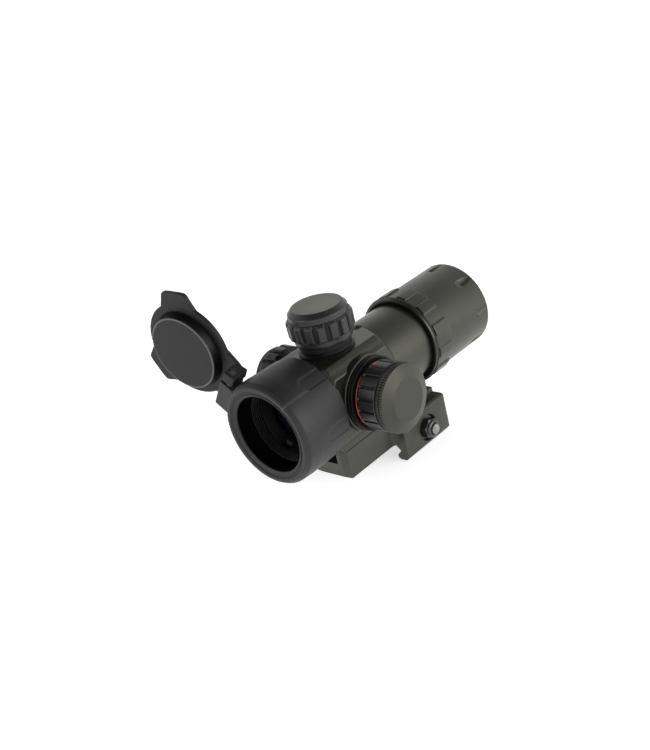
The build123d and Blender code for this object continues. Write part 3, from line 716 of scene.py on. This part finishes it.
def make_turret_cap(name, place):
    foot, top = TURRET_LOW[2] - AXIS_Z, TURRET_HIGH[2] - AXIS_Z
    bore, skirt_r, grip_r, crown_r, face_r = 8.65, 10.5, 12.0, 10.75, 9.0
    grip_low, grip_high = 22.3, 28.6
    under_face = top - 0.04
    outline = rounded([
        (bore, foot, 0), (10.3, foot, 0.35), (skirt_r, foot + 1.0, 0.3), (skirt_r, grip_low - 0.7, 0.25),
        (11.3, grip_low - 0.4, 0.2), (11.3, grip_low, 0.15), (grip_r - 0.1, grip_low + 0.1, 0.35),
        (grip_r, grip_high - 0.9, 0.6), (11.2, grip_high + 0.1, 0.2), (crown_r, grip_high + 0.1, 0.2),
        (crown_r, top - 1.7, 0.45), (face_r + 0.2, under_face, 0.12), (6.0, under_face, 0),
        (6.0, top - 2.2, 0), (7.6, top - 2.2, 0), (7.6, 24.0, 0), (bore, 24.0, 0)])
    outline = refined(outline, 0.35)

    def shape(radius, height, angle):
        across = np.abs(nearest(angle, SLOT_COUNT, 360 / SLOT_COUNT / 2)) * radius
        ends = window(height, grip_low - 0.05, grip_high - 0.15, 0.35)
        inside = (1 - ramp(across, SLOT_HALF - 0.15, SLOT_HALF + 0.25)) * ends
        return radius - np.clip(radius - (grip_r - SLOT_DEPTH), 0, None) * inside * (radius > 10.9)

    body = f"{name}_cap"
    cap = turned(f"{name}_screw_cap", place, outline, segments=384, shape=shape)
    dress(cap, ANODISED, body, "anodised_black", body)
    # The cap's top face is drawn paler than the cap: painted light on the top.
    face = turned(f"{name}_cap_face", place,
                  np.array([(face_r, top - 0.3), (face_r, top - 0.02), (face_r - 0.02, top)]), closed=False)
    dress(face, TURRET_TOP_PAINTED_LIGHT, body, "anodised_black")
    # Dark ring at the foot of the grip's slots: painted shade in the slots.
    floor = turned(f"{name}_slot_painted_shade", place,
                   square_ring(10.6, 11.05, grip_low + 0.1, grip_high - 0.3))
    dress(floor, DEEP_BLACK_AND_SHADE, body, "anodised_black")


def square_ring(inner_r, outer_r, low, high):
    """Section of a plain ring."""
    return np.array([(inner_r, low), (outer_r, low), (outer_r, high), (inner_r, high)], float)


# ---- brightness dial ----
KNURL_COUNT = 80
DIAL_HUB_R = 8.05
CAP_SKIRT_R = 10.9


def make_dial():
    collar_r, groove_r, lip_r, neck_r, neck_end = 13.3, 12.85, 11.6, 8.0, 24.3
    base = rounded([
        (neck_r, 14.0, 0), (neck_r, DIAL_SEAT, 0), (collar_r, DIAL_SEAT, 0.2), (collar_r, 17.85, 0.25),
        (groove_r, 18.0, 0.1), (groove_r, 18.4, 0.1), (collar_r, 18.55, 0.25), (13.2, 19.3, 0.25),
        (lip_r, 19.3, 0), (lip_r, 18.1, 0), (neck_r, 18.1, 0), (neck_r, neck_end, 0.2), (2.0, neck_end, 0),
        (2.0, 14.0, 0)])
    collar = turned("dial_collar", DIAL, base, segments=240)
    dress(collar, DEEP_BLACK_AND_SHADE, "housing", "anodised_black", "dial_base")
    start, end, outer = DIAL_LOW[0], DIAL_HIGH[0], DIAL_HIGH[2] - AXIS_Z
    make_dial_knob(start, end, outer)
    make_cell_cap(end + 0.15)

    # Dark ring at the foot of the pads' grooves: painted shade in the grooves.
    floor = turned("dial_slot_painted_shade", DIAL, square_ring(11.2, 11.75, start + 1.6, end - 2.2))
    dress(floor, DEEP_BLACK_AND_SHADE, "dial", "anodised_black")
    # Black ring in the groove above the knurling: painted shade in the groove.
    section = square_ring(outer - 0.6, outer - 0.1, end - 1.62, end - 1.38)
    groove_shade = turned("dial_groove_shade", DIAL, section, segments=240)
    dress(groove_shade, SHADE_BLACK, "dial", "anodised_black")
    make_dial_marks(start)


def make_dial_knob(start, end, outer):
    bore, bore_start, bore_end = 10.1, 25.0, 28.3
    outline = rounded([
        (DIAL_HUB_R, start, 0), (11.7, start, 0.2), (11.8, start + 0.9, 0.15), (outer, start + 1.3, 0.3),
        (outer, end - 1.9, 0.25), (outer - 0.35, end - 1.6, 0.1), (outer - 0.35, end - 1.4, 0.1),
        (outer, end - 1.25, 0.15), (outer, end - 0.1, 0.2), (11.9, end, 0), (11.9, end - 0.5, 0),
        (10.95, end - 0.5, 0), (10.95, bore_end, 0), (bore, bore_end, 0), (bore, bore_start, 0),
        (DIAL_HUB_R, bore_start, 0)])
    outline = refined(outline, 0.4)
    pad_count, pad_gap, pad_depth, tooth_depth = 18, 0.36, 0.75, 0.25

    def shape(radius, height, angle):
        across = np.abs(nearest(angle, pad_count)) * radius
        band = window(height, start + 1.5, end - 2.1, 0.3)
        groove = (1 - ramp(across, pad_gap - 0.15, pad_gap + 0.25)) * band
        tooth = tooth_depth * knurl(angle) * window(height, end - 1.3, end, 0.2)
        return radius - (pad_depth * groove + tooth) * (radius > 12.0)

    dial = turned("dial_knob", DIAL, outline, segments=640, shape=shape)
    dress(dial, ANODISED, "dial", "anodised_black", "brightness_dial")


def knurl(angle):
    """Height of the knurling's teeth round the circle, between 0 and 1."""
    return 0.5 + 0.5 * np.cos(KNURL_COUNT * angle)


def make_cell_cap(foot):
    low, high = DIAL_HIGH[0] - 0.45, DIAL_HIGH[0] + 0.1
    seal = rounded([(11.05, low, 0), (11.8, low, 0), (11.8, high, 0.2), (11.05, high, 0)])
    dress(turned("cell_cap_seal", DIAL, seal), RUBBER, "battery_seal", "rubber_black", "battery_seal")

    inside, pocket_r, face_r, tooth_depth = 29.4, 9.4, 7.7, 0.28
    outline = rounded([
        (pocket_r - 1.0, inside, 0), (pocket_r, inside, 0), (pocket_r, 28.4, 0), (CAP_SKIRT_R, 28.4, 0),
        (CAP_SKIRT_R, foot, 0), (12.15, foot, 0.1), (12.35, foot + 0.45, 0.2), (12.05, 31.5, 0.3),
        (face_r, CELL_CAP_TOP, 0.5), (face_r - 0.7, CELL_CAP_TOP, 0)], closed=False, steps=6)
    outline = refined(outline, 0.6, closed=False)

    def shape(radius, height, angle):
        return radius - tooth_depth * knurl(angle) * window(height, foot, foot + 1.0, 0.3) * (radius > 12.0)

    cap = turned("cell_cap", DIAL, outline, segments=720, closed=False, shape=shape)
    dress(cap, CLAMP_COAT, "battery_cap", "anodised_black", "battery_cap")


PAINT = 0.06        # thickness of the painted marks


def painted(name, radius, low, high, first, last, steps):
    """A strip of paint round part of the dial, between two heights and two angles in degrees."""
    section = square_ring(radius, radius + PAINT, low, high)
    rows = [DIAL.polar(section[:, 0], np.full(4, turn), section[:, 1])
            for turn in np.radians(np.linspace(first, last, steps))]
    return skin(name, np.array(rows), closed=False)


def make_dial_marks(start):
    """Painted setting arc on the dial's inner rim, a line beside it and a short index mark."""
    marks = [painted("mark", 11.78, start + 0.12, start + 0.52, -46, 57, 60),
             painted("mark", 11.8, start + 0.66, start + 0.8, -46, 6, 60),
             painted("tick", 12.3, start + 1.5, start + 2.6, 84, 89, 8)]
    arc = joined(marks)
    arc.name = "dial_arc"
    dress(arc, RED_PAINT, "dial", "anodised_black")


# ---- rear sleeve ----
def make_sleeve():
    front, rear = SLEEVE_LOW[1], SLEEVE_HIGH[1]
    rim_r, barrel_r, bore_r, thread_r, joint_r = 18.0, 17.1, 16.0, 15.45, 16.3
    pad_end, bore_end, thread_start = 46.4, 46.9, 38.9
    outline = rounded([
        (joint_r, front, 0.15), (17.3, front, 0.25), (17.45, front + 0.8, 0.15), (17.75, front + 0.9, 0.15),
        (rim_r, front + 1.2, 0.2), (16.9, front + 1.3, 0.1), (16.9, front + 1.75, 0.1),
        (rim_r, front + 1.85, 0.25), (rim_r, pad_end, 0.35), (barrel_r, pad_end + 0.5, 0.3),
        (barrel_r, rear, 0.35), (bore_r, rear, 0.3), (bore_r, bore_end, 0), (thread_r, bore_end, 0),
        (thread_r, thread_start, 0), (joint_r, thread_start, 0)])
    outline = refined(outline, 0.5)
    pad_count, pad_half = 12, math.radians(6.75)
    scallop_count, scallop_r, scallop_out, scallop_start = 8, 3.0, barrel_r + 2.2, 64.8

    def shape(radius, height, angle):
        across = np.abs(nearest(angle, pad_count, 18.0))
        valley = ramp(across, pad_half - 0.012, pad_half + 0.012)
        valley = valley * window(height, front + 1.6, pad_end + 0.6, 0.5)
        radius = radius - np.clip(radius - (barrel_r + 0.3), 0, None) * valley * (radius > barrel_r + 0.35)
        offset = nearest(angle, scallop_count, 48.0)
        beyond = np.maximum(scallop_start - height, 0)
        inside = scallop_r ** 2 - beyond ** 2 - (scallop_out * np.sin(offset)) ** 2
        fade = np.clip((height - scallop_start) / (rear - scallop_start), 0, 1)
        cut = scallop_out * np.cos(offset) - np.sqrt(np.maximum(inside, 0)) + 0.75 * fade
        cut = np.maximum(np.minimum(radius, cut), bore_r + 0.2)
        return np.where((inside > 0) & (radius > bore_r + 0.05), cut, radius)

    sleeve = turned("eye_sleeve", OPTICAL, outline, segments=456, shape=shape)
    dress(sleeve, TUBE_COAT, "rear_sleeve", "anodised_black", "rear_sleeve")
    low, high, seal_r = 37.5, 38.8, 16.2
    seal = rounded([(thread_r, low, 0), (seal_r, low, 0.3), (seal_r, high, 0.3), (thread_r, high, 0)])
    dress(turned("sleeve_ring_seal", OPTICAL, seal), RUBBER, "sleeve_seal", "rubber_black", "sleeve_seal")


# ---- rail clamp ----
def softened(piece, width=0.3, segments=3):
    """Round a piece's edges."""
    change = piece.modifiers.new("edges", "BEVEL")
    change.width = width * MM
    change.segments = segments
    change.limit_method = "ANGLE"
    change.angle_limit = math.radians(28)
    return piece


def jaw_outline(side, inner):
    """Section of a jaw on one side, +1 for the right, from its inner corners round the hooked foot."""
    outer = [(10.6, -2.8), (8.75, -4.65), (8.6, -5.2), (8.9, -6.1), (9.8, -6.6), (12.6, -6.6), (13.8, -5.4),
             (13.8, 8.3), (12.9, 8.8)]
    return np.array([(side * x, z) for x, z in inner + outer], float)


def flat_shaded(piece):
    piece.data.shade_flat()
    return piece


CLAMP_HALF = 9.0
JAW_TOP = 8.8
STUD_HOLE_R = 2.1
FLANK_X = 7.8               # where the 45 degree flank meets the height of the seat
RECESS_R = 5.15
SCREW_HEAD_R = 2.35
GUIDE_PIN_R = 1.3
JAW_SPRING_R = 2.2


def make_clamp():
    front, rear, half, top = CLAMP_LOW[1], CLAMP_HIGH[1], CLAMP_HALF, CLAMP_HIGH[2]
    corner_x, corner_y = 3.3, 0.4
    plan = [(-half, front + corner_y), (corner_x - half, front), (half - corner_x, front),
            (half, front + corner_y), (half, rear), (-half, rear)]
    base = prism("clamp_body", ROW, plan, 0, top)
    right_jaw = jaw_outline(1, [(5.0, JAW_TOP), (5.0, 0.3), (FLANK_X, 0)])
    base = boolean(base, prism("jaw", LENGTHWISE, right_jaw, JAW_FRONT, rear), "UNION")
    round_r = 3
    root = [(half - 1, JAW_FRONT - round_r), (half, JAW_FRONT - round_r)]
    for turn in np.radians(np.linspace(11.25, 90, 8)):
        root.append((half + round_r * (1 - math.cos(turn)), JAW_FRONT - round_r + round_r * math.sin(turn)))
    root += [(half + round_r, JAW_FRONT + 1), (half - 1, JAW_FRONT + 1)]
    base = boolean(base, prism("root", ROW, root, 0, JAW_TOP), "UNION")
    channel_half, channel_floor = 3.6, 5.0
    channel = [(-channel_half, channel_floor), (channel_half, channel_floor), (channel_half, top + 1),
               (-channel_half, top + 1)]
    base = boolean(base, prism("channel", LENGTHWISE, channel, front - 1, rear + 1), "DIFFERENCE")
    stud = [(STUD_Y, STUD_Z)]
    base = cut_holes(base, "stud_hole", ACROSS, STUD_HOLE_R, stud, 7.0, 14.5)
    base = cut_holes(base, "recess", ACROSS, RECESS_R, stud, 11.8, 14.5, segments=96)
    screws = [(x, y) for x in (-6.2, 6.2) for y in (-7.0, 9.0)]
    base = cut_holes(base, "screw_hole", ROW, SCREW_HEAD_R, screws, -1, 2.6, segments=48)
    softened(flat_shaded(base), 0.28)
    dress(base, CLAMP_COAT, "housing", "anodised_black", "clamp_base")
    make_left_jaw(rear)


def make_left_jaw(rear):
    inner_x = CLAMP_HALF + 0.1
    outline = jaw_outline(-1, [(inner_x, JAW_TOP), (inner_x, FLANK_X - inner_x)])
    jaw = prism("left_jaw", LENGTHWISE, outline, JAW_FRONT, rear)
    jaw = cut_holes(jaw, "stud_hole", ACROSS, STUD_HOLE_R, [(STUD_Y, STUD_Z)], -14.5, -8.0)
    for centre in ((18.0, 5.0), (36.5, 5.0)):
        jaw = cut_holes(jaw, "pin_hole", ACROSS, GUIDE_PIN_R, [centre], -14.5, -8.0, segments=40)
        jaw = cut_holes(jaw, "spring_hole", ACROSS, JAW_SPRING_R, [centre], -10.6, -8.0, segments=40)
    softened(flat_shaded(jaw), 0.28)
    dress(jaw, CLAMP_COAT, "movable_jaw", "anodised_black", "movable_jaw")


def make_nut():
    """Hexagonal lock nut with a round collar, and its washer."""
    place = Place((0, STUD_Y, STUD_Z), (0, 1, 0), (0, 0, 1), (1, 0, 0))
    low, high = NUT_LOW[0], NUT_HIGH[0]
    flat_r, corner_r, collar_r, bore, hex_height = 3.5, 4.04, 3.3, 2.05, 3.0
    outline = rounded([
        (bore, low, 0.1), (3.7, low, 0.1), (corner_r, low + 0.35, 0.1), (corner_r, low + 2.65, 0.1),
        (3.4, low + hex_height, 0.1), (collar_r, low + 3.1, 0.1), (collar_r, high - 0.6, 0.45),
        (2.5, high, 0.25), (bore + 0.25, high - 0.25, 0.1), (bore, high - 0.6, 0)])
    outline = refined(outline, 0.35)

    def shape(radius, height, angle):
        side = flat_r / np.cos(nearest(angle, 6, 10.0))
        return np.where(height < low + hex_height + 0.02, smooth_least(radius, side, 0.1), radius)

    nut = turned("lock_nut", place, outline, segments=240, shape=shape)
    dress(nut, DARK_STEEL, "stud_nut", "dark_steel", "stud_nut")
    low, high, washer_r = WASHER_LOW[0], WASHER_HIGH[0], 4.7
    washer = turned("flat_washer", place, rounded([
        (STUD_HOLE_R, low, 0), (washer_r, low, 0.15), (washer_r, high, 0.2), (STUD_HOLE_R, high, 0.1)]))
    dress(washer, DARK_STEEL, "stud_washer", "dark_steel", "stud_washer")


# ---- lens ring ----
def make_lens_ring():
    low, high = box("front_lens_ring")
    front, rear = low[1], high[1]
    outer_r, opening_r, wall_r, notch_r = 13.95, 11.7, 13.8, 1.6
    outline = rounded([(13.2, front, 0.12), (outer_r, front, 0.1), (outer_r, rear, 0), (opening_r, rear, 0),
                       (opening_r, rear - 0.75, 0.15)])
    outline = refined(outline, 0.3)

    def shape(radius, height, angle):
        across = 13.3 * nearest(angle, 2, 65.0)
        notch = 1 - ramp(np.hypot(across, 0.8 * (radius - 13.6)), notch_r, notch_r + 0.3)
        return radius + notch * (height < front + 2.2) * np.clip(wall_r - radius, 0, None)

    ring = turned("lens_ring", OPTICAL, outline, segments=360, shape=shape)
    dress(ring, DEEP_BLACK_AND_SHADE, "housing", "anodised_black", "front_lens_ring")


# ---- CAD nodes that stay, with their finishes ----
NODE_FINISHES = {
    ANODISED: ["rear_window_cell", "rear_window_ring", "inner_tube", "objective_ring", "clamp_lever"],
    RUBBER: ["front_lens_seal"],
    BRIGHT_STEEL: ["clamp_stud", "lever_pin", "jaw_guide_pins", "battery", "elevation_plunger",
                   "windage_plunger"],
    SPRING_STEEL: ["return_spring", "lid_spring", "dial_detent", "jaw_springs"],
    DARK_STEEL: ["pivot_ring", "base_screws", "lid_hinge_pin"],
    BRASS: ["battery_contact", "dial_wiper", "elevation_adjuster", "windage_adjuster"],
    BOARD: ["switch_board"],
    LAMP: ["led_emitter"],
    COATED_GLASS: ["front_lens", "rear_window", "objective_lens"],
}


def finish_nodes():
    for material, names in NODE_FINISHES.items():
        for name in names:
            node = frame["nodes"][name]
            node.data.materials.clear()
            node.data.materials.append(material)


# ---- camera, floor and light ----
CAMERA_AZIMUTH = 47.89
CAMERA_ELEVATION = 24.20
CAMERA_ROLL = -14.42
CAMERA_AIM = (-3.8, -0.6, 34.4)
CAMERA_DISTANCE = 400.0
CAMERA_LENS = 61.79
CAMERA_SENSOR = 36


def camera_directions():
    azimuth, elevation, roll = (math.radians(v) for v in (CAMERA_AZIMUTH, CAMERA_ELEVATION, CAMERA_ROLL))
    level = Vector((math.cos(azimuth), math.sin(azimuth), 0))
    forward = Vector((-math.sin(azimuth) * math.cos(elevation), math.cos(azimuth) * math.cos(elevation),
                      -math.sin(elevation)))
    upright = level.cross(forward)
    right = level * math.cos(roll) + upright * math.sin(roll)
    up = upright * math.cos(roll) - level * math.sin(roll)
    return right, up, forward


def make_camera():
    right, up, forward = camera_directions()
    camera = bpy.data.objects.new("camera", bpy.data.cameras.new("camera"))
    bpy.context.scene.collection.objects.link(camera)
    camera.data.sensor_fit = "HORIZONTAL"
    camera.data.sensor_width = CAMERA_SENSOR
    camera.data.lens = CAMERA_LENS
    camera.data.clip_start = 0.01
    turn = Matrix((right, up, -forward)).transposed().to_4x4()
    camera.matrix_world = Matrix.Translation((Vector(CAMERA_AIM) - forward * CAMERA_DISTANCE) * MM) @ turn
    bpy.context.scene.camera = camera


def make_card(name, corners, colour, glow=0.0):
    """A flat piece of the studio."""
    mesh = bpy.data.meshes.new(name)
    mesh.from_pydata(corners, [], [(0, 1, 2, 3)])
    card = bpy.data.objects.new(name, mesh)
    bpy.context.scene.collection.objects.link(card)
    material, _, _, shader = new_material(name)
    shader.inputs["Base Color"].default_value = (colour, colour, colour, 1)
    shader.inputs["Roughness"].default_value = 0.9
    shader.inputs["Emission Color"].default_value = (1, 1, 1, 1)
    shader.inputs["Emission Strength"].default_value = glow
    mesh.materials.append(material)
    return card


def make_floor():
    half = 40.0
    height = cad_bounds[0][2] - 0.0002
    corners = [(-half, -half, height), (half, -half, height), (half, half, height), (-half, half, height)]
    make_card("floor_white", corners, colour=0.9, glow=0.6)


def make_ceiling():
    """Black card overhead, unseen by the camera, that leaves dark bands between the side lights."""
    half, height = 0.55, 0.6
    corners = [(-half, -half, height), (half, -half, height), (half, half, height), (-half, half, height)]
    ceiling = make_card("ceiling_black", corners, colour=0.01)
    ceiling.visible_camera = False


WORLD_STRENGTH = 0.95
LIGHT_AIM = (0, 0, 0.03)
LIGHT_SIZE = (0.6, 0.5)
LIGHTS = (("right_light", (0.75, 0.25, 0.25), 3), ("left_light", (-0.35, -0.75, 0.3), 1.5))


def make_light(name, place, power):
    data = bpy.data.lights.new(name, "AREA")
    data.shape = "RECTANGLE"
    data.size, data.size_y = LIGHT_SIZE
    data.energy = power
    lamp = bpy.data.objects.new(name, data)
    bpy.context.scene.collection.objects.link(lamp)
    lamp.location = place
    lamp.rotation_euler = (Vector(LIGHT_AIM) - Vector(place)).to_track_quat("-Z", "Y").to_euler()


def make_lights():
    world = bpy.data.worlds.new("studio")
    bpy.context.scene.world = world
    world.use_nodes = True
    world.node_tree.nodes["Background"].inputs["Color"].default_value = (1, 1, 1, 1)
    world.node_tree.nodes["Background"].inputs["Strength"].default_value = WORLD_STRENGTH
    for name, place, power in LIGHTS:
        make_light(name, place, power)
    bpy.context.scene.view_settings.view_transform = "Standard"


make_camera()
make_floor()
make_ceiling()
make_lights()
make_housing()
make_front_ring()
make_lid()
make_turret("elevation", ELEVATION)
make_turret("windage", WINDAGE)
make_dial()
make_sleeve()
make_clamp()
make_nut()
make_lens_ring()
finish_nodes()
